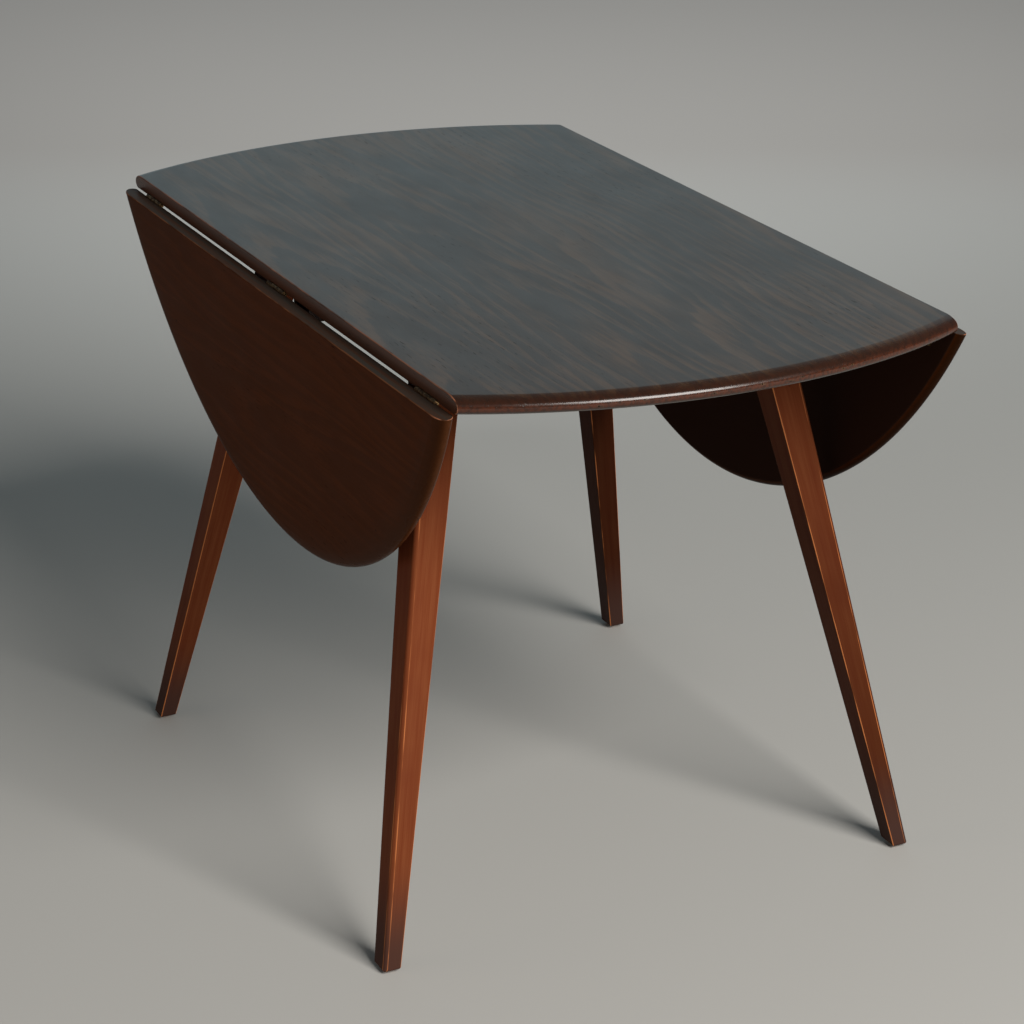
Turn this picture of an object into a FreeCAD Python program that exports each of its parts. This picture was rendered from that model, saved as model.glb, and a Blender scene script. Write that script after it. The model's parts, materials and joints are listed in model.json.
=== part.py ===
"""Oval drop-leaf table with four splayed tapered legs, all sizes in millimetres.

The origin is on the floor under the middle of the table, +Z is up and +X runs along the
hinge lines. The front leaf is on the -Y side, the back leaf on the +Y side, and both hang.
"Left" is -X and "right" is +X. Each piece is written to its own STEP file in parts/.
"""
import FreeCAD
import Part
import math
import os

# ---- top ----
TOP_HEIGHT = 720.0          # floor to the top surface
OVAL_LENGTH = 1130.0        # the open oval, along X
OVAL_WIDTH = 1250.0         # the open oval, across both raised leaves
PANEL_WIDTH = 612.0         # the fixed centre panel, between its two hinge edges
BOARD = 18.0                # thickness of the panel and the leaves
LEAF_GAP = 1.0              # joint between the panel and a raised leaf
NOSE_DROP = 10.2            # the widest line of the rounded rim, below the top surface
NOSE_TOP_INSET = 30.0       # how far in the upper rounding of the rim starts
NOSE_FOOT_INSET = 9.0       # how far in the lower rounding ends
NOSE_SLOPE_SHARE = 0.45     # the upper rounding slopes gently down to this share of its inset,
NOSE_ROUND_SHARE = 0.80     # then turns round this share of the drop
HINGE_EDGE_ROUND = 1.6      # upper arris of the hinge edges
HINGE_EDGE_SOFTEN = 0.8     # lower arris of the hinge edges

# ---- back-flap hinges ----
HINGE_X = 418.0             # the outer hinges, from the middle one
HINGE_LENGTH = 50.0
HINGE_LEAF_WIDTH = 28.0     # from the pin's axis to the plate's far edge
PLATE = 1.8                 # plate thickness
KNUCKLE_RADIUS = 3.2
KNUCKLE_COUNT = 5
KNUCKLE_PLAY = 0.3          # end play between two knuckles
PIN_RADIUS = 1.4
PIN_PLAY = 0.05             # radial clearance in the turning knuckles
RECESS_PLAY = 0.4           # air between a knuckle and the wood or plate beside it
HANG_ANGLE = 94.4           # a free leaf comes to rest this far below level

# ---- legs and frame ----
LEG_TOP_X, LEG_TOP_Y = 222.0, 202.0      # leg's middle where it meets the panel
LEG_FOOT_X, LEG_FOOT_Y = 372.0, 343.0    # leg's middle at the floor
LEG_TOP_SIZE = (50.0, 45.0)
LEG_FOOT_SIZE = (28.0, 21.5)
LEG_ARRIS = 1.4             # corner radius of a leg's section
LEG_OUTER_ARRIS = 5.5       # and of the corner that faces outwards both ways
TOE_CHAMFER = 2.5
TOE_ARRIS_SHARE = 0.45      # corner radii left at the toe, below the chamfer
RAIL_THICK = 22.0
RAIL_DEPTH = 65.0
LONG_RAIL_Y = 205.0         # middle of a long rail
CROSS_RAIL_X = 229.0        # middle of a cross rail
BLOCK_SIDE = 90.0           # corner block, along each rail
BLOCK_DEPTH = 42.0
BLOCK_BOLT_DROP = 21.0      # bolt below the panel
GLIDE_RADIUS = 6.5
GLIDE_HEIGHT = 3.5
GLIDE_FLAT = 4.0            # radius of the flat it stands on
NAIL_RADIUS = 1.2
NAIL_LENGTH = 16.0

# ---- sliding leaf supports (lopers), one each side of the middle hinges ----
LOPER_WIDTH = 27.0
LOPER_DEPTH = 18.0
LOPER_LENGTH = 500.0
LOPER_TIP_Y = 252.0         # outer end when pushed home
LOPER_TRAVEL = 200.0        # until the stop peg meets the long rail
SLIDE_PLAY = 0.5
GUIDE_START_X = 26.0        # inner batten's inner face, just clear of the hinge
GUIDE_WIDTH = 9.0           # each batten beside a loper
GUIDE_DEPTH = 19.0
GUIDE_TIP_Y = 296.0         # battens' outer end
GUIDE_TAIL_Y = 262.0        # and their inner end, past the far rail
KEEPER_LENGTH = 24.0        # strip across the battens' outer ends, under the loper
KEEPER_THICK = 5.0
PEG_RADIUS = 4.0
PEG_DROP = 30.0             # peg's lower end, below the panel
GROOVE_RADIUS = 9.0         # finger groove across the loper's underside
GROOVE_SET = 3.5            # groove's axis, below the underside
GROOVE_FROM_TIP = 22.0

# ---- fasteners ----
BOLT_RADIUS = 4.0
BOLT_PAST_MIDDLE = 10.0     # how far the bolt runs past the leg's middle
BOLT_TAIL = 4.0             # and past its nut
WASHER_RADIUS, WASHER_THICK = 10.0, 1.6
NUT_FLATS, NUT_THICK = 13.0, 6.5
SCREW_FIT = 0.02            # radial room round every fastener
SCREW_SLOT = 0.9            # width of the driver slot
COUNTERBORE_RADIUS = 5.0
RAIL_SCREW_DEPTH = 25.0     # head of a rail or block screw, below the panel
LONG_RAIL_SCREW_X = 130.0
CROSS_RAIL_SCREW_Y = 95.0
BLOCK_SCREW_FAR, BLOCK_SCREW_NEAR = 68.0, 12.0   # from the frame's inner corner

# head radius, head height, shank radius, length
HINGE_SCREW = (3.6, 1.9, 1.75, 14.0)
FRAME_SCREW = (4.3, 2.6, 2.25, RAIL_SCREW_DEPTH + 12.0)
GUIDE_SCREW = (3.2, 1.8, 1.5, GUIDE_DEPTH + 10.0)
KEEPER_SCREW = (3.2, 1.8, 1.5, KEEPER_THICK + GUIDE_DEPTH + 10.0)
HINGE_SCREW_PLACES = ((-17.0, 14.0), (0.0, 21.0), (17.0, 14.0))  # along the flap, out from the pin
GUIDE_SCREW_Y = (-165.0, 0.0, 165.0, 245.0)

# ---- worked out from the above ----
UNDERSIDE = TOP_HEIGHT - BOARD
HALF_LENGTH = OVAL_LENGTH / 2
HALF_WIDTH = OVAL_WIDTH / 2
EDGE_Y = PANEL_WIDTH / 2
AXIS_Y = EDGE_Y + LEAF_GAP / 2
AXIS_Z = UNDERSIDE - PLATE / 2
LOPER_X = GUIDE_START_X + GUIDE_WIDTH + SLIDE_PLAY + LOPER_WIDTH / 2
GUIDE_END_X = 2 * LOPER_X - GUIDE_START_X
LOPER_TOP = UNDERSIDE - SLIDE_PLAY
LOPER_LOW = LOPER_TOP - LOPER_DEPTH
KNUCKLE_PITCH = HINGE_LENGTH / KNUCKLE_COUNT

SIDES = {"front": -1, "back": 1}
ENDS = {"left": -1, "right": 1}
HINGES = {"left": -HINGE_X, "middle": 0.0, "right": HINGE_X}
CORNERS = [(end, side) for end in ENDS.values() for side in SIDES.values()]

X_AXIS = FreeCAD.Vector(1, 0, 0)
Z_AXIS = FreeCAD.Vector(0, 0, 1)


def vec(x, y, z):
    return FreeCAD.Vector(x, y, z)


def box(x_range, y_range, z_range):
    """A box from its three (low, high) ranges, given in either order."""
    lows = [min(r) for r in (x_range, y_range, z_range)]
    sizes = [abs(r[1] - r[0]) for r in (x_range, y_range, z_range)]
    return Part.makeBox(*sizes, vec(*lows))


def rod(radius, start, end):
    axis = end - start
    return Part.makeCylinder(radius, axis.Length, start, axis)


def polygon_face(points):
    return Part.Face(Part.makePolygon(points + points[:1]))


def turned(profile):
    """A solid of revolution about Z from (radius, height) points."""
    face = polygon_face([vec(r, 0, z) for r, z in profile])
    return face.revolve(vec(0, 0, 0), Z_AXIS, 360)


def half_turn(shape):
    """The same piece on the other side of the table."""
    copy = shape.copy()
    copy.rotate(vec(0, 0, 0), Z_AXIS, 180)
    return copy


def hang(shape, side):
    """Swing a leaf piece from level down to where it hangs."""
    copy = shape.copy()
    copy.rotate(vec(0, side * AXIS_Y, AXIS_Z), X_AXIS, -side * HANG_ANGLE)
    return copy


# ---------------------------------------------------------------- fasteners

def wood_screw(size, play=0.0):
    """Countersunk screw pointing up, its head's flat at z = 0; with play it is the screw's hole."""
    head_radius, head_height, shank_radius, length = size
    head, shank = head_radius + play, shank_radius + play
    taper = 1.5 * shank_radius
    screw = turned([(0, 0), (head, 0), (shank, head_height), (shank, length - taper), (0, length)])
    if play:
        return screw
    half_slot = SCREW_SLOT / 2
    return screw.cut(box((-head, head), (-half_slot, half_slot), (0, head_height * 0.35)))


def placed(shape, points):
    """Copies of a shape at the given points."""
    copies = []
    for point in points:
        copy = shape.copy()
        copy.translate(point)
        copies.append(copy)
    return copies


# ---------------------------------------------------------------- top boards

def rim_cutter():
    """Everything outside the oval's rounded rim: turned round, then squeezed to the oval."""
    rim = HALF_WIDTH
    nose = TOP_HEIGHT - NOSE_DROP
    top_start = vec(rim - NOSE_TOP_INSET - 2.0, 0, TOP_HEIGHT + 0.8)
    foot_end = vec(rim - NOSE_FOOT_INSET - 1.0, 0, UNDERSIDE - 0.6)
    upper = Part.BezierCurve()
    upper.setPoles([top_start, vec(rim - NOSE_SLOPE_SHARE * NOSE_TOP_INSET, 0, TOP_HEIGHT + 0.2),
                    vec(rim, 0, nose + NOSE_ROUND_SHARE * NOSE_DROP), vec(rim, 0, nose)])
    lower = Part.BezierCurve()
    lower.setPoles([vec(rim, 0, nose), vec(rim, 0, nose - 0.55 * (BOARD - NOSE_DROP)),
                    vec(rim - 0.45 * NOSE_FOOT_INSET, 0, UNDERSIDE + 0.4), foot_end])
    beyond = 1.5 * rim          # clear of every board's corners
    outside = [foot_end, vec(foot_end.x, 0, UNDERSIDE - 5), vec(beyond, 0, UNDERSIDE - 5),
               vec(beyond, 0, TOP_HEIGHT + 5), vec(top_start.x, 0, TOP_HEIGHT + 5), top_start]
    edges = [upper.toShape(), lower.toShape()]
    edges += [Part.makeLine(a, b) for a, b in zip(outside, outside[1:])]
    face = Part.Face(Part.Wire(edges))
    ring = face.revolve(vec(0, 0, 0), Z_AXIS, 360)
    squeeze = FreeCAD.Matrix()
    squeeze.scale(HALF_LENGTH / HALF_WIDTH, 1, 1)
    return ring.transformGeometry(squeeze)


def soften_hinge_edge(board, edge_y):
    """Round the two long arrises that lie on a hinge edge."""
    for height, radius in ((TOP_HEIGHT, HINGE_EDGE_ROUND), (UNDERSIDE, HINGE_EDGE_SOFTEN)):
        edges = [e for e in board.Edges
                 if abs(e.CenterOfMass.y - edge_y) < 0.01
                 and abs(e.CenterOfMass.z - height) < 0.01
                 and e.Length > OVAL_LENGTH / 2]
        board = board.makeFillet(radius, edges)
    return board


def knuckle_recesses(side):
    """Round troughs for the hinge barrels, shared by the panel's and the leaf's lower arris."""
    reach = HINGE_LENGTH / 2 + 1.0
    radius = KNUCKLE_RADIUS + RECESS_PLAY
    return [rod(radius, vec(x - reach, side * AXIS_Y, AXIS_Z), vec(x + reach, side * AXIS_Y, AXIS_Z))
            for x in HINGES.values()]


def top_panel(rim, holes):
    half = HALF_LENGTH + 5
    board = box((-half, half), (-EDGE_Y, EDGE_Y), (UNDERSIDE, TOP_HEIGHT))
    for side in SIDES.values():
        board = soften_hinge_edge(board, side * EDGE_Y)
    board = board.cut(rim)
    for side in SIDES.values():
        board = board.cut(knuckle_recesses(side))
    return board.cut(holes)


def raised_leaf(side, rim, holes):
    half = HALF_LENGTH + 5
    inner = side * (EDGE_Y + LEAF_GAP)
    board = box((-half, half), (inner, side * (HALF_WIDTH + 5)), (UNDERSIDE, TOP_HEIGHT))
    board = soften_hinge_edge(board, inner)
    return board.cut(rim).cut(knuckle_recesses(side)).cut(holes)


# ---------------------------------------------------------------- hinges

def hinge_plate(side, x, outward, knuckles, bore):
    """One flap of a hinge, lying level; outward is +1 for the leaf's flap, -1 for the panel's."""
    away = side * outward
    start = KNUCKLE_RADIUS + RECESS_PLAY
    plate = box((x - HINGE_LENGTH / 2, x + HINGE_LENGTH / 2),
                (side * AXIS_Y + away * start, side * AXIS_Y + away * HINGE_LEAF_WIDTH),
                (UNDERSIDE - PLATE, UNDERSIDE))
    corners = [e for e in plate.Edges
               if abs(e.CenterOfMass.y - (side * AXIS_Y + away * HINGE_LEAF_WIDTH)) < 0.01
               and abs(e.Length - PLATE) < 0.01]
    plate = plate.makeFillet(2.0, corners)
    for index in knuckles:
        low = x - HINGE_LENGTH / 2 + index * KNUCKLE_PITCH + KNUCKLE_PLAY / 2
        high = low + KNUCKLE_PITCH - KNUCKLE_PLAY
        barrel = rod(KNUCKLE_RADIUS, vec(low, side * AXIS_Y, AXIS_Z), vec(high, side * AXIS_Y, AXIS_Z))
        tab = box((low, high), (side * AXIS_Y, side * AXIS_Y + away * (start + 1)),
                  (UNDERSIDE - PLATE, UNDERSIDE))
        plate = plate.fuse(barrel).fuse(tab)
    reach = HINGE_LENGTH / 2 + 1
    plate = plate.cut(rod(bore, vec(x - reach, side * AXIS_Y, AXIS_Z), vec(x + reach, side * AXIS_Y, AXIS_Z)))
    return plate.removeSplitter()


def hinge_pin(side, x):
    half = HINGE_LENGTH / 2 - KNUCKLE_PLAY / 2
    pin = rod(PIN_RADIUS, vec(x - half, side * AXIS_Y, AXIS_Z), vec(x + half, side * AXIS_Y, AXIS_Z))
    return pin.makeChamfer(0.3, [e for e in pin.Edges if e.Curve.TypeId == "Part::GeomCircle"])


def hinge_screw_points(side, x, outward):
    """Three staggered screws in one flap."""
    away = side * outward
    return [vec(x + along, side * AXIS_Y + away * across, UNDERSIDE - PLATE)
            for along, across in HINGE_SCREW_PLACES]


def hinge_screw_set(side, outward):
    return [p for x in HINGES.values() for p in hinge_screw_points(side, x, outward)]


# ---------------------------------------------------------------- frame

def leg_section(middle, size, end, side, radius_share=1.0):
    """A leg's level section: a rectangle with rounded corners, the outer corner more than the rest."""
    edges = []
    previous = None
    for turn in range(4):
        angle = math.pi / 2 * turn
        sign_x = 1 if turn in (0, 3) else -1
        sign_y = 1 if turn in (0, 1) else -1
        outer = (sign_x, sign_y) == (end, side)
        radius = radius_share * (LEG_OUTER_ARRIS if outer else LEG_ARRIS)
        centre = middle + vec(sign_x * (size[0] / 2 - radius), sign_y * (size[1] / 2 - radius), 0)
        points = [centre + vec(radius * math.cos(angle + step), radius * math.sin(angle + step), 0)
                  for step in (0, math.pi / 4, math.pi / 2)]
        if previous:
            edges.append(Part.makeLine(previous, points[0]))
        edges.append(Part.Arc(*points).toShape())
        previous = points[2]
    first = edges[0].Vertexes[0].Point
    edges.append(Part.makeLine(previous, first))
    return Part.Wire(edges)


def leg_middle(end, side, height):
    """The leg's centre line, straight from the panel to the floor."""
    share = height / UNDERSIDE
    return vec(end * (LEG_FOOT_X + (LEG_TOP_X - LEG_FOOT_X) * share),
               side * (LEG_FOOT_Y + (LEG_TOP_Y - LEG_FOOT_Y) * share), height)


def leg_size(height):
    """Width and depth of a leg's section at a height."""
    share = (height - GLIDE_HEIGHT) / (UNDERSIDE - GLIDE_HEIGHT)
    return [foot + (top - foot) * share for foot, top in zip(LEG_FOOT_SIZE, LEG_TOP_SIZE)]


def leg_blank(end, side):
    """The tapered, splayed leg without its holes, chamfered round the toe."""
    ankle_z = GLIDE_HEIGHT + TOE_CHAMFER
    toe_size = [width - 2 * TOE_CHAMFER for width in leg_size(ankle_z)]
    toe = leg_section(leg_middle(end, side, GLIDE_HEIGHT), toe_size, end, side, TOE_ARRIS_SHARE)
    ankle = leg_section(leg_middle(end, side, ankle_z), leg_size(ankle_z), end, side)
    head = leg_section(leg_middle(end, side, UNDERSIDE), LEG_TOP_SIZE, end, side)
    return Part.makeLoft([toe, ankle, head], True, True)


def glide(end, side, play=0.0):
    """A domed nylon glide with its nail; play makes the nail's hole."""
    nail, top = NAIL_RADIUS + play, GLIDE_HEIGHT
    body = turned([(0, 0), (GLIDE_FLAT, 0), (GLIDE_RADIUS - 0.6, 0.35 * top), (GLIDE_RADIUS, 0.75 * top),
                   (GLIDE_RADIUS, top), (nail, top), (nail, top + NAIL_LENGTH - 3), (0, top + NAIL_LENGTH)])
    middle = leg_middle(end, side, GLIDE_HEIGHT)
    body.translate(vec(middle.x, middle.y, 0))
    return body


def long_rail(side, cuts):
    rail = box((-LEG_TOP_X, LEG_TOP_X),
               (side * (LONG_RAIL_Y - RAIL_THICK / 2), side * (LONG_RAIL_Y + RAIL_THICK / 2)),
               (UNDERSIDE - RAIL_DEPTH, UNDERSIDE))
    notches = [box((end * (GUIDE_START_X - SLIDE_PLAY), end * (GUIDE_END_X + SLIDE_PLAY)),
                   (side * LONG_RAIL_Y - RAIL_THICK, side * LONG_RAIL_Y + RAIL_THICK),
                   (UNDERSIDE - GUIDE_DEPTH, UNDERSIDE + 1)) for end in ENDS.values()]
    return rail.cut(notches + cuts)


def cross_rail(end, cuts):
    rail = box((end * (CROSS_RAIL_X - RAIL_THICK / 2), end * (CROSS_RAIL_X + RAIL_THICK / 2)),
               (-LEG_TOP_Y, LEG_TOP_Y), (UNDERSIDE - RAIL_DEPTH, UNDERSIDE))
    return rail.cut(cuts)


def block_corner(end, side):
    """Inner corner of the rail frame, where a corner block sits."""
    return end * (CROSS_RAIL_X - RAIL_THICK / 2), side * (LONG_RAIL_Y - RAIL_THICK / 2)


def corner_block(end, side, cuts):
    x, y = block_corner(end, side)
    low = UNDERSIDE - BLOCK_DEPTH
    far_x, far_y = x - end * BLOCK_SIDE, y - side * BLOCK_SIDE
    face = polygon_face([vec(x, y, low), vec(far_x, y, low), vec(x, far_y, low)])
    return face.extrude(vec(0, 0, BLOCK_DEPTH)).cut(cuts)


def bolt_line(end, side):
    """Where the bolt leaves the block's long face, and its direction into the leg."""
    x, y = block_corner(end, side)
    target = leg_middle(end, side, UNDERSIDE - BLOCK_BOLT_DROP)
    direction = vec(end, side, 0).normalize()
    middle = vec(x - end * BLOCK_SIDE / 2, y - side * BLOCK_SIDE / 2, target.z)
    distance = (target - middle).dot(direction)
    return target - direction * distance, direction, distance


def leg_bolt(end, side, play=0.0):
    start, direction, distance = bolt_line(end, side)
    outer = start - direction * (WASHER_THICK + NUT_THICK + BOLT_TAIL)
    inner = start + direction * (distance + BOLT_PAST_MIDDLE)
    return rod(BOLT_RADIUS + play, outer, inner)


def leg_washer(end, side):
    start, direction, _ = bolt_line(end, side)
    back = start - direction * WASHER_THICK
    return rod(WASHER_RADIUS, back, start).cut(rod(BOLT_RADIUS + 0.3, back - direction, start + direction))


def leg_nut(end, side):
    start, direction, _ = bolt_line(end, side)
    back = start - direction * (WASHER_THICK + NUT_THICK)
    corner = NUT_FLATS / math.sqrt(3)
    turns = [math.radians(60 * k) for k in range(6)]
    hexagon = polygon_face([vec(corner * math.cos(a), corner * math.sin(a), 0) for a in turns])
    nut = hexagon.extrude(vec(0, 0, NUT_THICK))
    nut.Placement = FreeCAD.Placement(back, FreeCAD.Rotation(Z_AXIS, direction))
    return nut.cut(rod(BOLT_RADIUS + SCREW_FIT, back - direction, back + direction * (NUT_THICK + 1)))


def rail_screw_points():
    """Screws run up through the rails from counterbores in their lower edges."""
    level = UNDERSIDE - RAIL_SCREW_DEPTH
    along = [vec(end * LONG_RAIL_SCREW_X, side * LONG_RAIL_Y, level) for end, side in CORNERS]
    across = [vec(end * CROSS_RAIL_X, side * CROSS_RAIL_SCREW_Y, level) for end, side in CORNERS]
    return along + across


def block_screw_points():
    """Two screws in each corner block, one near each of its thin ends."""
    level = UNDERSIDE - RAIL_SCREW_DEPTH
    points = []
    for end, side in CORNERS:
        x, y = block_corner(end, side)
        points.append(vec(x - end * BLOCK_SCREW_FAR, y - side * BLOCK_SCREW_NEAR, level))
        points.append(vec(x - end * BLOCK_SCREW_NEAR, y - side * BLOCK_SCREW_FAR, level))
    return points


def counterbores(points):
    return [rod(COUNTERBORE_RADIUS, vec(p.x, p.y, UNDERSIDE - RAIL_DEPTH - 1), p) for p in points]


# ---------------------------------------------------------------- sliding supports

def guide_batten_x():
    """X ranges of the battens on the inner and outer side of the front loper."""
    inner = (GUIDE_START_X, GUIDE_START_X + GUIDE_WIDTH)
    outer = (GUIDE_END_X - GUIDE_WIDTH, GUIDE_END_X)
    return {"inner": inner, "outer": outer}


def front_guide(x_range, cuts):
    batten = box(x_range, (-GUIDE_TIP_Y, GUIDE_TAIL_Y), (UNDERSIDE - GUIDE_DEPTH, UNDERSIDE))
    return batten.cut(cuts)


def front_keeper(cuts):
    """The strip that closes the guides' outer end from below."""
    low = UNDERSIDE - GUIDE_DEPTH - KEEPER_THICK
    strip = box((GUIDE_START_X, GUIDE_END_X), (-GUIDE_TIP_Y, KEEPER_LENGTH - GUIDE_TIP_Y),
                (low, UNDERSIDE - GUIDE_DEPTH))
    front = [e for e in strip.Edges if abs(e.CenterOfMass.y + GUIDE_TIP_Y) < 0.01
             and abs(e.CenterOfMass.z - low) < 0.01]
    return strip.makeFillet(2.0, front).cut(cuts)


def guide_screw_points():
    """Front battens' screws, clear of both rails."""
    return [vec(sum(x_range) / 2, y, UNDERSIDE - GUIDE_DEPTH)
            for x_range in guide_batten_x().values() for y in GUIDE_SCREW_Y]


def keeper_screw_points():
    y = KEEPER_LENGTH / 2 - GUIDE_TIP_Y
    return [vec(sum(x_range) / 2, y, UNDERSIDE - GUIDE_DEPTH - KEEPER_THICK)
            for x_range in guide_batten_x().values()]


def front_peg():
    """The loper's stop: a dowel that meets the rail's inner face at the end of the travel."""
    y = LOPER_TRAVEL + PEG_RADIUS - (LONG_RAIL_Y - RAIL_THICK / 2)
    return rod(PEG_RADIUS, vec(LOPER_X, y, UNDERSIDE - PEG_DROP), vec(LOPER_X, y, LOPER_TOP - 3.0))


def front_loper(peg):
    """The front loper, pushed home, with a finger groove across its underside."""
    bar = box((LOPER_X - LOPER_WIDTH / 2, LOPER_X + LOPER_WIDTH / 2),
              (-LOPER_TIP_Y, LOPER_LENGTH - LOPER_TIP_Y), (LOPER_LOW, LOPER_TOP))
    tip = [e for e in bar.Edges if abs(e.CenterOfMass.y + LOPER_TIP_Y) < 0.01]
    bar = bar.makeFillet(3.0, tip)
    y, z = GROOVE_FROM_TIP - LOPER_TIP_Y, LOPER_LOW - GROOVE_SET
    groove = rod(GROOVE_RADIUS, vec(0, y, z), vec(2 * LOPER_X, y, z))
    return bar.cut([groove, peg])


# ---------------------------------------------------------------- assembly

def build_parts():
    """All pieces, by node name; a node of fasteners holds several solids."""
    parts = {}
    rim = rim_cutter()
    frame_holes = placed(wood_screw(FRAME_SCREW, SCREW_FIT), rail_screw_points() + block_screw_points())
    front_guide_holes = placed(wood_screw(GUIDE_SCREW, SCREW_FIT), guide_screw_points())
    front_guide_holes += placed(wood_screw(KEEPER_SCREW, SCREW_FIT), keeper_screw_points())
    guide_holes = front_guide_holes + [half_turn(hole) for hole in front_guide_holes]
    bolt_holes = [leg_bolt(end, side, SCREW_FIT) for end, side in CORNERS]

    panel_points = [p for side in SIDES.values() for p in hinge_screw_set(side, -1)]
    panel_hinge_holes = placed(wood_screw(HINGE_SCREW, SCREW_FIT), panel_points)
    parts["top_panel"] = top_panel(rim, frame_holes + guide_holes + panel_hinge_holes)
    parts["panel_hinge_screws"] = placed(wood_screw(HINGE_SCREW), panel_points)

    fixed_knuckles = range(0, KNUCKLE_COUNT, 2)
    turning_knuckles = range(1, KNUCKLE_COUNT, 2)
    for side_name, side in SIDES.items():
        leaf_points = hinge_screw_set(side, 1)
        leaf_holes = placed(wood_screw(HINGE_SCREW, SCREW_FIT), leaf_points)
        parts["leaf_" + side_name] = hang(raised_leaf(side, rim, leaf_holes), side)
        leaf_screws = placed(wood_screw(HINGE_SCREW), leaf_points)
        parts["leaf_hinge_screws_" + side_name] = [hang(screw, side) for screw in leaf_screws]
        for place, x in HINGES.items():
            name = side_name + "_" + place
            fixed = hinge_plate(side, x, -1, fixed_knuckles, PIN_RADIUS)
            turning = hinge_plate(side, x, 1, turning_knuckles, PIN_RADIUS + PIN_PLAY)
            parts["panel_plate_" + name] = fixed.cut(panel_hinge_holes)
            parts["leaf_plate_" + name] = hang(turning.cut(leaf_holes), side)
            parts["hinge_pin_" + name] = hinge_pin(side, x)

    legs = {(end, side): leg_blank(end, side) for end, side in CORNERS}
    all_legs = list(legs.values())
    rail_holes = frame_holes + counterbores(rail_screw_points())
    block_holes = frame_holes + counterbores(block_screw_points()) + bolt_holes
    for side_name, side in SIDES.items():
        parts["long_rail_" + side_name] = long_rail(side, all_legs + rail_holes)
        for end_name, end in ENDS.items():
            name = side_name + "_" + end_name
            nail = glide(end, side, SCREW_FIT)
            parts["leg_" + name] = legs[end, side].cut([leg_bolt(end, side, SCREW_FIT), nail])
            parts["glide_" + name] = glide(end, side)
            parts["corner_block_" + name] = corner_block(end, side, all_legs + block_holes)
    for end_name, end in ENDS.items():
        parts["cross_rail_" + end_name] = cross_rail(end, all_legs + rail_holes)

    parts["leg_bolts"] = [leg_bolt(end, side) for end, side in CORNERS]
    parts["leg_washers"] = [leg_washer(end, side) for end, side in CORNERS]
    parts["leg_nuts"] = [leg_nut(end, side) for end, side in CORNERS]
    parts["rail_screws"] = placed(wood_screw(FRAME_SCREW), rail_screw_points())
    parts["block_screws"] = placed(wood_screw(FRAME_SCREW), block_screw_points())

    peg = front_peg()
    front_pieces = {"loper": front_loper(peg), "stop_peg": peg, "keeper": front_keeper(front_guide_holes)}
    for place, x_range in guide_batten_x().items():
        front_pieces["guide_" + place] = front_guide(x_range, front_guide_holes)
    for name, piece in front_pieces.items():
        parts[name + "_front"], parts[name + "_back"] = piece, half_turn(piece)
    front_screws = placed(wood_screw(GUIDE_SCREW), guide_screw_points())
    front_screws += placed(wood_screw(KEEPER_SCREW), keeper_screw_points())
    parts["guide_screws"] = front_screws + [half_turn(screw) for screw in front_screws]
    return parts


def write_parts(parts):
    os.makedirs("parts", exist_ok=True)
    for name, shape in parts.items():
        if isinstance(shape, list):
            shape = Part.makeCompound(shape)
        solids = shape.Solids
        whole = len(solids) == 1 and solids[0] or Part.makeCompound(solids)
        whole.exportStep("parts/" + name + ".step")
        volume = sum(s.Volume for s in solids) / 1000
        print("%-28s %2d solid(s) %9.2f cm3 valid %s" % (name, len(solids), volume, whole.isValid()))


write_parts(build_parts())
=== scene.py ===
"""Looks of an oval drop-leaf table in dark stained wood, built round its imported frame.

All sizes are in metres, in the frame of the CAD model: the origin is on the floor under the
middle, +Z is up and +X runs along the hinge lines. The boards, legs and glides are new meshes
that stand for their CAD nodes; the other nodes keep their shape and get their material here.
"""
import json
import math

import bmesh
import bpy
import numpy as np
from mathutils import Matrix, Vector, noise


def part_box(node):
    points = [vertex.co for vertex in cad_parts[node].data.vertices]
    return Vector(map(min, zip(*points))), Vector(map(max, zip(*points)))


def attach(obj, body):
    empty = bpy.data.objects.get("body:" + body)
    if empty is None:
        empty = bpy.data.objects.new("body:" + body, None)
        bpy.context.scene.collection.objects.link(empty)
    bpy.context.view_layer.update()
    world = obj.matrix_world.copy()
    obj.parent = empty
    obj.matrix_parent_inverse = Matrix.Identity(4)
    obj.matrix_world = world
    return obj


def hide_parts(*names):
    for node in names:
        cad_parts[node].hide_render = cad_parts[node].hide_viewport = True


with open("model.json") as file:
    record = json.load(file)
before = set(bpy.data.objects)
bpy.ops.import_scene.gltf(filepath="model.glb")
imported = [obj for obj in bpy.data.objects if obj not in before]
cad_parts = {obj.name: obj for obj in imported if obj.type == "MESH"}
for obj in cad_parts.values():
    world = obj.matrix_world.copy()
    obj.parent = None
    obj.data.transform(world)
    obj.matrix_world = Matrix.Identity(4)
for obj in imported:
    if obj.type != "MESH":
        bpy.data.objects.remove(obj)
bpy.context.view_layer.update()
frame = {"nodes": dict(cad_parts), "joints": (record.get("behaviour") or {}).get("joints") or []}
JOINTS = {joint["name"]: joint for joint in frame["joints"]}
SIDES = {"front": -1, "back": 1}
ENDS = {"left": -1, "right": 1}

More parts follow.
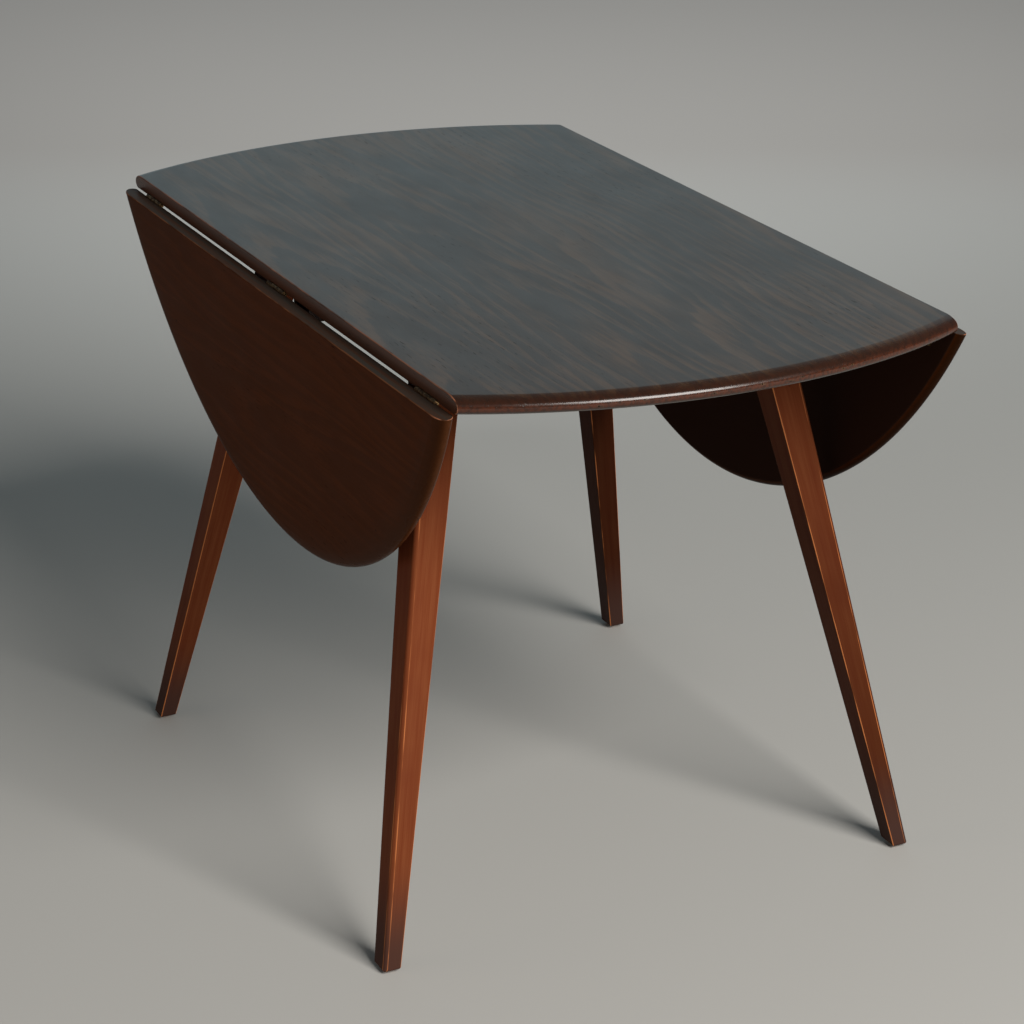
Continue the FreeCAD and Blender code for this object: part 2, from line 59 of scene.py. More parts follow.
# ---- the boards ----
panel_low, panel_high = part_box("top_panel")
TOP = panel_high.z
UNDERSIDE = panel_low.z
BOARD = TOP - UNDERSIDE
HALF_LENGTH = panel_high.x
HALF_WIDTH = 0.625              # of the open oval, across both raised leaves
EDGE_Y = panel_high.y           # the panel's hinge edge
LEAF_GAP = 0.001                # open joint between the panel and a raised leaf
LEAF_EDGE_Y = EDGE_Y + LEAF_GAP
NOSE_DROP = 0.0102              # the rim's widest line, below the top
NOSE_TOP_INSET = 0.030
NOSE_FOOT_INSET = 0.009
NOSE_SLOPE_SHARE = 0.45         # the upper rounding slopes down to this share of its inset,
NOSE_ROUND_SHARE = 0.80         # then turns round this share of the drop
UPPER_ARRIS = 0.0016            # radius of the hinge edges' upper arris
LOWER_ARRIS = 0.0008
ARRIS_STEPS = 5
UPPER_NOSE_STEPS = 16
LOWER_NOSE_STEPS = 9
FLAT_COLUMNS = 33
PANEL_ROWS = 65
LEAF_RINGS = 14
LEAF_COLUMNS = 145
RECESS_RADIUS = 0.0036          # trough for a hinge barrel
RECESS_LENGTH = 0.052
RECESS_SIDES = 48
BOARD_CREASE = 50               # degrees between faces that stay a sharp edge

# y of each worm hole in the +X end, and how far it lies above the rim's widest line
WORMHOLES = [(-0.31, 0.0004), (-0.17, -0.0021), (-0.122, 0.0017), (-0.045, -0.0009),
             (0.012, 0.0013), (0.048, -0.0016), (0.063, 0.0009), (0.118, -0.0005),
             (0.131, 0.0012), (0.262, -0.0019)]
WORMHOLE_RADII = (0.0006, 0.0009, 0.0007)
WORMHOLE_DEPTH = 0.004
WORMHOLE_START = 0.002          # the cutter starts this far outside the rim
WORMHOLE_TURN = 1.2             # towards the middle of the board, per metre of y
WORMHOLE_TILT = 40              # up or down, per metre above or below the widest line
WORMHOLE_SIDES = 10

# ---- the legs ----
LEG_ARRIS = 0.0014
LEG_OUTER_ARRIS = 0.0055        # corner that faces outwards both ways
LEG_ARRIS_STEPS = 8
OUTER_WEAR = {1: 0.75, 2: 0.3}  # at steps from either edge of the outer corner
TOE_ARRIS_SHARE = 0.45          # corner radii left at the toe

# Brightness of each leg at its head and foot, by its (end, side). The spread is partly a difference of
# stain and partly painted shade, the fall of light on the table painted into the legs' colour; one
# number for all gives a plain set of legs.
LEG_STAIN_AND_SHADE = {(1, -1): (0.85, 0.79), (1, 1): (0.61, 0.26),
             (-1, -1): (0.88, 0.58), (-1, 1): (0.22, 0.20)}
LEG_FOOT_SIZE = Vector((0.028, 0.0215))
LEG_TOP_SIZE = Vector((0.050, 0.045))
LEG_TOP_MIDDLE = Vector((0.222, 0.202))
LEG_FOOT_MIDDLE = Vector((0.372, 0.343))    # where the middle line meets the floor
TOE_ROUND = 0.0032
TOE_STEPS = 5
LEG_ROWS = 120
LEG_CREASE = 55                 # degrees between faces that stay a sharp edge
NICK_DEPTH = 0.03               # of a nick for each unit of noise, as a share of the half width
NICK_RATE = 110                 # waves per metre of the noise that nicks the arrises
NICK_LIMIT = 0.3                # only its peaks above this are nicks
LEG_PLANK = (0.6, 1.3)          # each leg is cut this far along the plank, by its end and side,
LEG_PLANK_SHIFT = 0.17          # and this share of that across it

# ---- the glides ----
GLIDE_RADIUS = 0.0065
GLIDE_FLAT = 0.003
GLIDE_HEIGHT = 0.0035
GLIDE_RIM_SHARE = 0.8           # height of the dome's widest line, as a share of the glide
GLIDE_STEPS = 9
GLIDE_SIDES = 40
GLIDE_CREASE = 50               # degrees between faces that stay a sharp edge


# ---------------------------------------------------------------- mesh helpers

def piece(name, mesh, body, nodes):
    """A finished mesh that rides on a body and stands for the CAD nodes."""
    made = bpy.data.objects.new(name, mesh)
    bpy.context.scene.collection.objects.link(made)
    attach(made, body)
    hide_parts(*nodes)
    return made


def add_points(build, points, shades):
    """A row of vertices; shades gives vertex attributes a value for each point."""
    line = [build.verts.new(point) for point in points]
    for key, values in shades.items():
        layer = build.verts.layers.float.get(key)
        for vert, value in zip(line, values):
            vert[layer] = value
    return line


def join_rows(build, rows, closed):
    """Faces between each row of vertices and the next."""
    for upper, lower in zip(rows, rows[1:]):
        count = len(upper)
        for c in range(count if closed else count - 1):
            d = (c + 1) % count
            build.faces.new((upper[c], upper[d], lower[d], lower[c]))


def shaded_bmesh(*keys):
    """An empty bmesh with a vertex attribute for each key."""
    build = bmesh.new()
    for key in keys:
        build.verts.layers.float.new(key)
    return build


def finished_mesh(build, name):
    """The bmesh, welded and with its faces turned outwards, as a mesh."""
    bmesh.ops.remove_doubles(build, verts=build.verts, dist=1e-6)
    bmesh.ops.dissolve_degenerate(build, edges=build.edges, dist=1e-7)
    bmesh.ops.recalc_face_normals(build, faces=build.faces)
    mesh = bpy.data.meshes.new(name)
    build.to_mesh(mesh)
    build.free()
    return mesh


def rod_mesh(build, start, end, radius, sides):
    """Adds a capped rod to a bmesh."""
    start, end = Vector(start), Vector(end)
    turn = (end - start).to_track_quat("Z", "Y").to_matrix().to_4x4()
    place = Matrix.Translation((start + end) / 2) @ turn
    bmesh.ops.create_cone(build, cap_ends=True, segments=sides, radius1=radius, radius2=radius,
                          depth=(end - start).length, matrix=place)


def cut(mesh, name, build):
    """The mesh with everything in the cutter bmesh taken away."""
    cutter_mesh = bpy.data.meshes.new(name + "_cutter")
    build.to_mesh(cutter_mesh)
    build.free()
    whole = bpy.data.objects.new(name, mesh)
    cutter = bpy.data.objects.new(name + "_cutter", cutter_mesh)
    for made in (whole, cutter):
        bpy.context.scene.collection.objects.link(made)
    boolean = whole.modifiers.new("cut", "BOOLEAN")
    boolean.operation = "DIFFERENCE"
    boolean.solver = "EXACT"
    boolean.object = cutter
    bpy.context.view_layer.update()
    graph = bpy.context.evaluated_depsgraph_get()
    result = bpy.data.meshes.new_from_object(whole.evaluated_get(graph), depsgraph=graph,
                                             preserve_all_data_layers=True)
    for made in (whole, cutter):
        bpy.data.objects.remove(made)
    result.name = name
    return result


def smooth(obj, angle):
    """Smooth shading with sharp edges past the angle, and flat faces kept flat."""
    obj.data.polygons.foreach_set("use_smooth", [True] * len(obj.data.polygons))
    obj.data.set_sharp_from_angle(angle=math.radians(angle))
    weigh = obj.modifiers.new("flat faces stay flat", "WEIGHTED_NORMAL")
    weigh.keep_sharp = True
    weigh.weight = 100


def store_grain(mesh, points):
    """Wood coordinates for the material: x along the grain, y across it, z through the board."""
    layer = mesh.attributes.new("grain", "FLOAT_VECTOR", "POINT")
    layer.data.foreach_set("vector", np.asarray(points, np.float32).ravel())


def coordinates(mesh):
    """The mesh's points, a row for each."""
    flat = np.zeros(len(mesh.vertices) * 3, np.float32)
    mesh.vertices.foreach_get("co", flat)
    return flat.reshape(-1, 3).astype(float)


# ---------------------------------------------------------------- boards

def bezier(poles, shares):
    """Points of a cubic Bezier curve."""
    t = np.asarray(shares)[:, None]
    p = [np.array(pole) for pole in poles]
    return ((1 - t) ** 3 * p[0] + 3 * (1 - t) ** 2 * t * p[1] + 3 * (1 - t) * t ** 2 * p[2]
            + t ** 3 * p[3])


def share_at_height(poles, height):
    """Where along a Bezier curve its second coordinate has a value."""
    z0, z1, z2, z3 = (pole[1] for pole in poles)
    roots = np.roots([z3 - 3 * z2 + 3 * z1 - z0, 3 * z2 - 6 * z1 + 3 * z0, 3 * z1 - 3 * z0,
                      z0 - height])
    return next(root.real for root in roots if abs(root.imag) < 1e-9 and 0 < root.real < 1)


def rim_profile():
    """(inset, height) points of the rounded rim, from the flat top round to the flat underside.

    The curves' outer poles lie just past the flat faces, so the rim leaves them at a slight angle.
    """
    nose = TOP - NOSE_DROP
    upper = [(NOSE_TOP_INSET + 0.002, TOP + 0.0008),
             (NOSE_SLOPE_SHARE * NOSE_TOP_INSET, TOP + 0.0002),
             (0, nose + NOSE_ROUND_SHARE * NOSE_DROP), (0, nose)]
    lower = [(0, nose), (0, nose - 0.55 * (BOARD - NOSE_DROP)),
             (0.45 * NOSE_FOOT_INSET, UNDERSIDE + 0.0004), (NOSE_FOOT_INSET + 0.001, UNDERSIDE - 0.0006)]
    top_part = bezier(upper, np.linspace(share_at_height(upper, TOP), 1, UPPER_NOSE_STEPS))
    low_part = bezier(lower, np.linspace(0, share_at_height(lower, UNDERSIDE), LOWER_NOSE_STEPS))
    return np.vstack([top_part, low_part[1:]])


def half_length(y, inset=0.0):
    """How far the oval, drawn in by the inset, reaches in x at y."""
    return HALF_LENGTH * np.sqrt(np.maximum((1 - inset / HALF_WIDTH) ** 2 - (y / HALF_WIDTH) ** 2, 0))


def arris_radius(height):
    """Radius of a hinge edge's arris, larger at the top than below."""
    share = (height - UNDERSIDE) / BOARD
    return LOWER_ARRIS + (UPPER_ARRIS - LOWER_ARRIS) * share


def drawn_in(x, z, amount):
    """A closed outline moved inwards by an amount at each point."""
    along_x, along_z = np.roll(x, -1) - np.roll(x, 1), np.roll(z, -1) - np.roll(z, 1)
    length = np.hypot(along_x, along_z)
    area = np.sum(x * np.roll(z, -1) - np.roll(x, -1) * z)
    turn = np.sign(area)
    return x - turn * amount * along_z / length, z + turn * amount * along_x / length


def close_edge(build, line, points, edge, rim):
    """Rounds a board's outline over into its flat hinge edge, and closes it."""
    x, y, z = np.array(points).T
    radius = arris_radius(z)
    lines = [line]
    for step in range(1, ARRIS_STEPS + 1):
        angle = math.pi / 2 * step / ARRIS_STEPS
        row_y = edge + (y - edge) * (1 - math.sin(angle))
        near_x = x * half_length(row_y) / half_length(y)
        row_x, row_z = drawn_in(near_x, z, radius * (1 - math.cos(angle)))
        wear = np.full(len(x), math.sin(2 * angle))
        flat = np.full(len(x), step / ARRIS_STEPS)
        lines.append(add_points(build, np.column_stack([row_x, row_y, row_z]),
                                {"wear": wear, "rim": rim, "edge": flat}))
    join_rows(build, lines, True)
    build.faces.new(lines[-1])


def rubbed_and_shaded_rim(inset, z):
    """1 on the rim's nose, fading out where the board becomes flat."""
    level = np.clip(1 - inset / NOSE_TOP_INSET, 0, 1)
    below = np.where(z < TOP - NOSE_DROP, np.clip(1 - inset / NOSE_FOOT_INSET, 0, 1), 1)
    share = np.minimum(level, below)
    return share * share * (3 - 2 * share)


def panel_mesh(name):
    """The centre panel: a closed outline swept across, with its two hinge edges rounded."""
    profile = rim_profile()
    nose_inset, nose_z = profile[1:-1].T
    inset = np.concatenate([np.full(FLAT_COLUMNS, profile[0, 0]), nose_inset,
                            np.full(FLAT_COLUMNS, profile[-1, 0]), nose_inset[::-1]])
    z = np.concatenate([np.full(FLAT_COLUMNS, TOP), nose_z,
                        np.full(FLAT_COLUMNS, UNDERSIDE), nose_z[::-1]])
    across = np.linspace(-1, 1, FLAT_COLUMNS)
    ones = np.ones(len(nose_z))
    sign = np.concatenate([across, ones, across[::-1], -ones])
    edge = EDGE_Y - arris_radius(z)
    rows = [np.column_stack([sign * half_length(share * edge, inset), share * edge, z])
            for share in np.linspace(-1, 1, PANEL_ROWS)]
    rim = rubbed_and_shaded_rim(inset, z)
    build = shaded_bmesh("wear", "rim", "edge")
    lines = [add_points(build, row, {"rim": rim}) for row in rows]
    join_rows(build, lines, True)
    for last, line, side in ((rows[0], lines[0], -1), (rows[-1], lines[-1], 1)):
        close_edge(build, line, last, side * EDGE_Y, rim)
    return finished_mesh(build, name)


def leaf_mesh(name, side):
    """A raised leaf: rings that follow the rim and end on the hinge edge, which is rounded over."""
    profile = rim_profile()
    top_rings = np.linspace(HALF_WIDTH - LEAF_EDGE_Y - UPPER_ARRIS, profile[0, 0], LEAF_RINGS)[:-1]
    low_rings = np.linspace(profile[-1, 0], HALF_WIDTH - LEAF_EDGE_Y - LOWER_ARRIS, LEAF_RINGS)[1:]
    inset = np.concatenate([top_rings, profile[:, 0], low_rings])
    z = np.concatenate([np.full(len(top_rings), TOP), profile[:, 1],
                        np.full(len(low_rings), UNDERSIDE)])
    start_y = LEAF_EDGE_Y + arris_radius(z)
    reach = HALF_WIDTH - inset
    first = np.arcsin(np.clip(start_y / reach, -1, 1))
    share = np.linspace(0, 1, LEAF_COLUMNS)
    rows = []
    for k in range(len(z)):
        angle = first[k] + share * (math.pi - 2 * first[k])
        x = HALF_LENGTH * reach[k] / HALF_WIDTH * np.cos(angle)
        y = side * reach[k] * np.sin(angle)
        rows.append(np.column_stack([x, y, np.full(LEAF_COLUMNS, z[k])]))
    rim = rubbed_and_shaded_rim(inset, z)
    build = shaded_bmesh("wear", "rim", "edge")
    lines = [add_points(build, row, {"rim": [level] * LEAF_COLUMNS})
             for row, level in zip(rows, rim)]
    join_rows(build, lines, False)
    outline, points, around = (list(ends(group)) for group in (lines, rows, [[r, r] for r in rim]))
    close_edge(build, outline, points, side * LEAF_EDGE_Y, np.array(around))
    return finished_mesh(build, name)


def ends(rows):
    """The first item of each row in turn, then the last ones on the way back."""
    return [row[0] for row in rows] + [row[-1] for row in rows][-2:0:-1]


def hinge_line(side_name):
    """A leaf hinge's axis point and direction, and how far the leaf lifts to level."""
    joint = JOINTS[side_name + "_leaf_hinge"]
    return Vector(joint["pos_m"]), Vector(joint["axis"]), math.radians(joint["range_deg"][1])


def add_recesses(build, side_name):
    """Troughs for the three hinge barrels on one side."""
    place, _, _ = hinge_line(side_name)
    for where in ("left", "middle", "right"):
        low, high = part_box(f"hinge_pin_{side_name}_{where}")
        middle = Vector(((low.x + high.x) / 2, place.y, place.z))
        half = Vector((RECESS_LENGTH / 2, 0, 0))
        rod_mesh(build, middle - half, middle + half, RECESS_RADIUS, RECESS_SIDES)


def add_wormholes(build):
    """Small old worm holes in the rim of the panel's +X end."""
    for index, (y, rise) in enumerate(WORMHOLES):
        z = TOP - NOSE_DROP + rise
        x = float(half_length(y))
        inward = Vector((-1, -y * WORMHOLE_TURN, -rise * WORMHOLE_TILT)).normalized()
        start = Vector((x + WORMHOLE_START, y, z))
        rod_mesh(build, start, start + inward * (WORMHOLE_START + WORMHOLE_DEPTH),
                 WORMHOLE_RADII[index % len(WORMHOLE_RADII)], WORMHOLE_SIDES)


def mark_flat_edge(mesh, edge_y):
    """Marks as edge the points that the hinge troughs added to a board's flat hinge edge."""
    shade = mesh.attributes["edge"].data
    for k in np.nonzero(np.abs(np.abs(coordinates(mesh)[:, 1]) - edge_y) < 1e-6)[0]:
        shade[k].value = 1.0


def make_boards():
    """The centre panel and the two leaves, each leaf swung down to where it hangs."""
    build = bmesh.new()
    for side_name in SIDES:
        add_recesses(build, side_name)
    add_wormholes(build)
    mesh = cut(panel_mesh("centre_panel"), "centre_panel", build)
    mark_flat_edge(mesh, EDGE_Y)
    store_grain(mesh, coordinates(mesh))
    boards = [piece("centre_panel", mesh, "table_base", ["top_panel"])]
    for side_name, side in SIDES.items():
        name = f"leaf_board_{side_name}"
        build = bmesh.new()
        add_recesses(build, side_name)
        mesh = cut(leaf_mesh(name, side), name, build)
        mark_flat_edge(mesh, LEAF_EDGE_Y)
        store_grain(mesh, coordinates(mesh))
        place, axis, lift = hinge_line(side_name)
        swing = Matrix.Rotation(-lift, 4, axis)
        mesh.transform(Matrix.Translation(place) @ swing @ Matrix.Translation(-place))
        leaf = f"leaf_{side_name}"
        boards.append(piece(name, mesh, leaf, [leaf]))
    for board in boards:
        smooth(board, BOARD_CREASE)
    return boards


# ---------------------------------------------------------------- legs and glides

def leg_section(size, end, side, radius_share):
    """Points round a leg's section about its middle, and how rubbed each one is.

    The sharp corners are rubbed at their middle, the rounder outer one along both its edges.
    """
    points, rubbed = [], []
    for turn in range(4):
        sign_x = 1 if turn in (0, 3) else -1
        sign_y = 1 if turn in (0, 1) else -1
        outer = (sign_x, sign_y) == (end, side)
        radius = radius_share * (LEG_OUTER_ARRIS if outer else LEG_ARRIS)
        for step in range(LEG_ARRIS_STEPS + 1):
            share = step / LEG_ARRIS_STEPS
            angle = math.pi / 2 * (turn + share)
            points.append((sign_x * (size[0] / 2 - radius) + radius * math.cos(angle),
                           sign_y * (size[1] / 2 - radius) + radius * math.sin(angle)))
            rubbed.append(OUTER_WEAR.get(min(step, LEG_ARRIS_STEPS - step), 0) if outer
                          else math.sin(math.pi * share))
    return np.array(points), np.array(rubbed)


def leg_middle(end, side, z):
    """Middle of a leg at a height, in x and y."""
    x, y = LEG_FOOT_MIDDLE.lerp(LEG_TOP_MIDDLE, z / UNDERSIDE)
    return np.array([end * x, side * y])


def nick(corner, end, side, z):
    """How deep a leg's arris is nicked at a height: 0 along most of it."""
    place = Vector((NICK_RATE * z, 3.1 * end + corner, 5.7 * side))
    return max(0.0, noise.noise(place) - NICK_LIMIT)


def leg_mesh(name, end, side):
    """A splayed tapered leg with nicked arrises and a rounded toe."""
    head_stain_and_shade, foot_stain_and_shade = LEG_STAIN_AND_SHADE[end, side]
    foot_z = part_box(name)[0].z
    heights = [foot_z + TOE_ROUND * (1 - math.cos(math.pi / 2 * k / TOE_STEPS))
               for k in range(TOE_STEPS)]
    heights += list(np.linspace(foot_z + TOE_ROUND, UNDERSIDE, LEG_ROWS))
    build = shaded_bmesh("wear", "tone")
    lines = []
    for z in heights:
        # the leg's stain and painted shade, from its foot to its head
        tone = foot_stain_and_shade + (head_stain_and_shade - foot_stain_and_shade) * z / UNDERSIDE
        size = LEG_FOOT_SIZE.lerp(LEG_TOP_SIZE, (z - foot_z) / (UNDERSIDE - foot_z))
        drop = max(0.0, foot_z + TOE_ROUND - z) / TOE_ROUND
        draw = TOE_ROUND * (1 - math.sqrt(1 - drop ** 2))
        radius_share = 1 - (1 - TOE_ARRIS_SHARE) * drop
        points, rubbed = leg_section(size - Vector((2 * draw, 2 * draw)), end, side, radius_share)
        count = len(points)
        nicks = np.array([nick(k // (LEG_ARRIS_STEPS + 1), end, side, z) for k in range(count)])
        points = points * (1 - NICK_DEPTH * nicks * rubbed)[:, None] + leg_middle(end, side, z)
        row = np.column_stack([points, np.full(count, z)])
        lines.append(add_points(build, row, {"wear": rubbed, "tone": [tone] * count}))
    join_rows(build, lines, True)
    build.faces.new(lines[0])
    build.faces.new(lines[-1])
    mesh = finished_mesh(build, name)
    where = coordinates(mesh)
    across = where[:, :2] - np.array([leg_middle(end, side, z) for z in where[:, 2]])
    plank = LEG_PLANK[0] * end + LEG_PLANK[1] * side
    store_grain(mesh, np.column_stack([where[:, 2] + plank, across + LEG_PLANK_SHIFT * plank]))
    return mesh


def make_legs():
    legs = []
    for side_name, side in SIDES.items():
        for end_name, end in ENDS.items():
            node = f"leg_{side_name}_{end_name}"
            mesh = leg_mesh(node, end, side)
            mesh.name = node + "_tapered"
            legs.append(piece(f"tapered_{node}", mesh, "table_base", [node]))
    for leg in legs:
        smooth(leg, LEG_CREASE)
    return legs


def glide_mesh(name):
    """A domed glide, flat where it stands."""
    low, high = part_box(name)
    middle = (low + high) / 2
    rim_z = GLIDE_RIM_SHARE * GLIDE_HEIGHT
    outline = [(GLIDE_FLAT + (GLIDE_RADIUS - GLIDE_FLAT) * math.sin(a), rim_z * (1 - math.cos(a)))
               for a in np.linspace(0, math.pi / 2, GLIDE_STEPS)]
    outline.append((GLIDE_RADIUS, GLIDE_HEIGHT))
    build = shaded_bmesh()
    lines = []
    for radius, z in outline:
        turns = np.linspace(0, 2 * math.pi, GLIDE_SIDES, endpoint=False)
        ring = [(middle.x + radius * math.cos(t), middle.y + radius * math.sin(t), z) for t in turns]
        lines.append(add_points(build, ring, {}))
    join_rows(build, lines, True)
    build.faces.new(lines[0])
    build.faces.new(lines[-1])
    return finished_mesh(build, "domed_" + name)


def make_glides():
    glides = []
    for side_name in SIDES:
        for end_name in ENDS:
            node = f"glide_{side_name}_{end_name}"
            glides.append(piece("domed_" + node, glide_mesh(node), "table_base", [node]))
            smooth(glides[-1], GLIDE_CREASE)
    return glides


# ---------------------------------------------------------------- materials

class Shader:
    """Builds one node material."""

    def __init__(self, name):
        self.material = bpy.data.materials.new(name)
        self.material.use_nodes = True
        self.tree = self.material.node_tree
        self.surface = self.tree.nodes["Principled BSDF"]

    def feed(self, socket, value):
        """Links a socket, or sets its value."""
        if isinstance(value, bpy.types.NodeSocket):
            self.tree.links.new(value, socket)
        else:
            socket.default_value = value

    def add(self, kind, settings, inputs, output=0):
        """A node with its settings and inputs, by name or number; gives one of its outputs."""
        made = self.tree.nodes.new("ShaderNode" + kind)
        for key, value in settings.items():
            setattr(made, key, value)
        for key, value in inputs.items():
            self.feed(made.inputs[key], value)
        return made.outputs[output]

    def set(self, **inputs):
        """Inputs of the surface; an underscore stands for a space."""
        for key, value in inputs.items():
            self.feed(self.surface.inputs[key.replace("_", " ")], value)

    def attribute(self, name, output="Fac"):
        return self.add("Attribute", {"attribute_name": name}, {}, output)

    def position(self):
        return self.add("TexCoord", {}, {}, "Object")

    def math(self, operation, *values):
        return self.add("Math", {"operation": operation}, dict(enumerate(values)))

    def stretched(self, vector, scale):
        """The vector times the scale, along each axis."""
        return self.add("VectorMath", {"operation": "MULTIPLY"}, {0: vector, 1: scale})

    def noise(self, vector, scale, detail=3.0, roughness=0.55):
        """Noise in a space stretched by the scale, in waves per metre along x, y and z."""
        return self.add("TexNoise", {}, {"Vector": self.stretched(vector, scale), "Scale": 1.0,
                                         "Detail": detail, "Roughness": roughness}, "Fac")

    def between(self, value, low, high, to_low=0.0, to_high=1.0):
        """The value's range low to high spread over to_low to to_high, smoothly and clamped."""
        return self.add("MapRange", {"interpolation_type": "SMOOTHSTEP"},
                        {"Value": value, "From Min": low, "From Max": high,
                         "To Min": to_low, "To Max": to_high})

    def mix(self, share, first, second, blend="MIX"):
        """Two colours mixed by a share."""
        return self.add("Mix", {"data_type": "RGBA", "blend_type": blend},
                        {0: share, 6: first, 7: second}, 2)

    def bump(self, heights):
        """Bump from a list of (height, metres) pairs."""
        total = 0.0
        for height, metres in heights:
            total = self.math("MULTIPLY_ADD", height, metres, total)
        made = self.add("Bump", {}, {"Strength": 1.0, "Distance": 1.0, "Height": total})
        self.set(Normal=made)


def colour(red, green, blue):
    return (red, green, blue, 1.0)


# ---- the boards' finish: noise in waves per metre along x, across y and through z ----
STREAKS = (5.0, 260.0, 260.0)
FINE_GRAIN = (22.0, 720.0, 720.0)
PORES = (45.0, 560.0, 560.0)
PORE_CLUSTERS = (2.0, 4.5, 4.5)
CLOUDS = (3.2, 7.0, 7.0)
RUBBING = (14.0, 14.0, 60.0)
WAX_PATCHES = (11.0, 30.0, 30.0)
BOARD_WAVES = (3.0, 14.0, 14.0)
PLANK_WIDTH = 0.204
PITH_DEPTH = 0.07               # of the tree's middle, below the boards' underside
RINGS_PER_METRE = 85
RING_DRIFT = 0.12               # metres that the pith wanders across
RING_WOBBLE = 2.2               # rings
FIGURE_SHARE, STREAK_SHARE, FINE_SHARE = 0.16, 0.38, 0.46
GRAIN_SHARE, CLOUD_SHARE = 0.6, 0.4
# Painted shade: the rim is darkened again below its warm band, between the second pair of heights, where
# it turns under.
RIM_WARM = (0.005, 0.0105)      # below the top: between these the rim's stain turns warmer,
RIM_UNDER_SHADE = (0.0125, 0.0165)     # and between these dark again
PORE_DEPTH = 0.00005
GRAIN_RELIEF = 0.00002
WAVE_RELIEF = 0.0003
BOARD_SPECKS = (21.0, 0.045, 0.05)      # cells per metre, size in cells, share of cells
PORE_COLOUR = colour(0.004, 0.002, 0.0015)
SPECK_COLOUR = colour(0.004, 0.002, 0.002)
WORN_ARRIS = colour(0.165, 0.066, 0.030)
WORN_RIM = colour(0.50, 0.19, 0.10)
UNDERSIDE_COLOUR = colour(0.030, 0.012, 0.007)

# The specular levels of the leaves and legs are far below a real finish's, so that the pale floor
# leaves no grey haze on them.
PANEL_SPECULAR = 0.5
LEAF_SPECULAR = 0.015
LEG_SPECULAR = 0.02
PANEL_ROUGHNESS = 0.30
LEAF_ROUGHNESS = 0.34
LEG_ROUGHNESS = 0.27

# The leaves' stain is set for a leaf that hangs in the shade: it is redder and lighter than the panel's,
# partly painted light that makes up for that shade. A raised leaf is too red beside the panel.
PANEL_STAIN = {"brown": (0.088, 0.043, 0.017), "dark": (0.028, 0.014, 0.007),
               "edge": (0.110, 0.030, 0.008),
               "rim_brown": (0.074, 0.018, 0.006), "rim_dark": (0.015, 0.006, 0.003)}
LEAF_STAIN_AND_PAINTED_LIGHT = {"brown": (0.088, 0.0205, 0.0026), "dark": (0.068, 0.0165, 0.0022),
              # on the leaves the edge colour is a painted sheen: a pale grey for the grazing reflection
              # on their hinge edges
              "edge": (0.035, 0.031, 0.026),
              "rim_brown": (0.090, 0.030, 0.010), "rim_dark": (0.065, 0.020, 0.006)}
# Painted shade: each leaf's rim is darkened to this share of its stain, the back one most.
LEAF_RIM_PAINTED_SHADE = {"front": 0.72, "back": 0.22}     # brightness of each leaf's rim

# ---- the legs' finish, with x up the leg ----
LEG_STREAKS = (3.0, 150.0, 150.0)
LEG_FINE_GRAIN = (12.0, 800.0, 800.0)
LEG_BLOTCHES = (6.0, 14.0, 14.0)
LEG_RUBBING = (11.0, 40.0, 40.0)
LEG_BROWN = colour(0.180, 0.042, 0.015)
LEG_LIGHT_BROWN = colour(0.225, 0.064, 0.024)
LEG_BLOTCH = colour(0.155, 0.033, 0.014)
LEG_TOE = colour(0.050, 0.026, 0.021)
LEG_TOE_HEIGHTS = (0.135, 0.015)        # the toe darkens from the first down to the second,
LEG_TOE_SHARE = 0.88                    # to this share of its colour
LEG_SPECKS = (60.0, 0.06, 0.04)
LEG_SPECK = colour(0.03, 0.010, 0.006)
LEG_WORN = colour(0.50, 0.17, 0.06)
LEG_STREAK_RELIEF = 0.00003
LEG_FINE_RELIEF = 0.00001


def specks(shader, vector, per_metre, size, share):
    """1 on small round specks, one in some cells of a grid."""
    cells = {"Vector": vector, "Scale": per_metre}
    distance = shader.add("TexVoronoi", {}, cells, "Distance")
    cell = shader.add("TexVoronoi", {}, cells, "Color")
    chance = shader.add("SeparateColor", {}, {"Color": cell}, 0)
    near = shader.between(distance, size, size * 0.5)
    return shader.math("MULTIPLY", near, shader.math("LESS_THAN", chance, share))


def plank_pith(shader, grain, y):
    """A chance value for each plank, and how far each point lies across from its plank's pith."""
    planks = shader.math("MULTIPLY", y, 1 / PLANK_WIDTH)
    plank = shader.math("FLOOR", planks)
    within = shader.math("SUBTRACT", shader.math("FRACT", planks), 0.5)
    within = shader.math("MULTIPLY", within, PLANK_WIDTH)
    chance = shader.add("TexWhiteNoise", {"noise_dimensions": "1D"}, {"W": plank}, "Value")
    shift = shader.between(chance, 0, 1, -0.5 * PLANK_WIDTH, 0.5 * PLANK_WIDTH)
    drift = shader.noise(grain, (1.3, 3.0, 3.0), 2.0)
    across = shader.math("MULTIPLY_ADD", drift, RING_DRIFT, shader.math("ADD", within, shift))
    return chance, across


def wood_figure(shader, grain):
    """Growth rings of planks laid side by side: 0 to 1, dark at 1."""
    x, y, z = (shader.add("SeparateXYZ", {}, {"Vector": grain}, axis) for axis in "XYZ")
    chance, across = plank_pith(shader, grain, y)
    lean = shader.math("MULTIPLY", x, shader.between(chance, 0, 1, -0.05, 0.08))
    depth = shader.math("ADD", shader.math("ADD", z, PITH_DEPTH - UNDERSIDE), lean)
    squares = shader.math("ADD", shader.math("POWER", across, 2.0),
                          shader.math("POWER", depth, 2.0))
    rings = shader.math("MULTIPLY", shader.math("SQRT", squares), RINGS_PER_METRE)
    wobble = shader.math("MULTIPLY", shader.noise(grain, (2.5, 25.0, 25.0), 3.0), RING_WOBBLE)
    ring = shader.math("FRACT", shader.math("ADD", rings, wobble))
    rise = shader.between(ring, 0.0, 0.78)
    return shader.math("MULTIPLY", rise, shader.between(ring, 1.0, 0.86))


